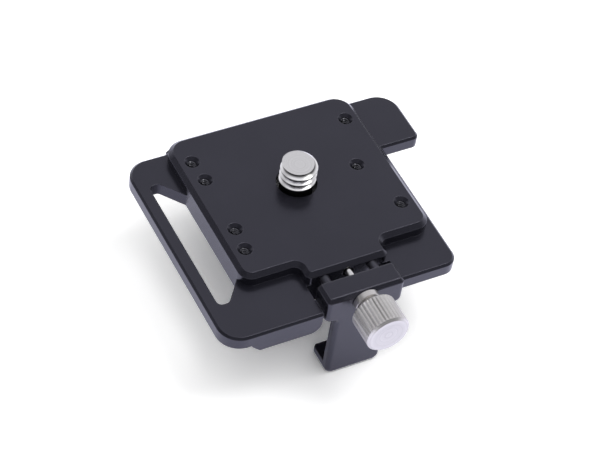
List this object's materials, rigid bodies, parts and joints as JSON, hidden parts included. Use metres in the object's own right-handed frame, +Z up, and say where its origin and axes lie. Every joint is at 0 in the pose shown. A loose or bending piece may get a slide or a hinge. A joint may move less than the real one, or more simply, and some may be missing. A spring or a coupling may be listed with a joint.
{
  "type": "camera clamp plate",
  "caption": "Machined camera plate with a captive camera screw, a strap slot, a side tab and a thumb-screw jaw that slides on guide pins to clamp a bar below.",
  "frame": {"origin": "where the camera screw's axis meets the platform's top face", "axes": "+X towards the side tab, +Y from the moving jaw towards the fixed jaw, +Z up out of the platform"},
  "size_m": [0.0517, 0.0502, 0.0242],
  "materials": {
    "anodised_aluminium": "bead-blasted, black anodised",
    "stainless_steel": "satin, turned",
    "black_steel": "black oxide"
  },
  "bodies": {
    "plate": {"plate": "anodised_aluminium", "retaining_ring": "black_steel"},
    "camera_screw": {"camera_screw": "stainless_steel"},
    "jaw": {"jaw": "anodised_aluminium", "guide_pin_left": "black_steel", "guide_pin_right": "black_steel"},
    "thumb_screw": {"thumb_screw": "stainless_steel"}
  },
  "joints": [
    {"name": "camera_screw_turn", "type": "hinge", "parent": "plate", "child": "camera_screw", "pos_m": [0, 0, 0], "axis": [0, 0, 1], "continuous": true},
    {"name": "jaw_slide", "type": "slide", "parent": "plate", "child": "jaw", "axis": [0, 1, 0], "range_m": [-0.004, 0.0021]},
    {"name": "thumb_screw_turn", "type": "hinge", "parent": "jaw", "child": "thumb_screw", "pos_m": [0, -0.0258, -0.00175], "axis": [0, 1, 0], "range_deg": [-3700, 1990]}
  ],
  "couplings": [
    {"joint": "thumb_screw_turn", "follows": "jaw_slide", "rad_per_m": 15708}
  ]
}
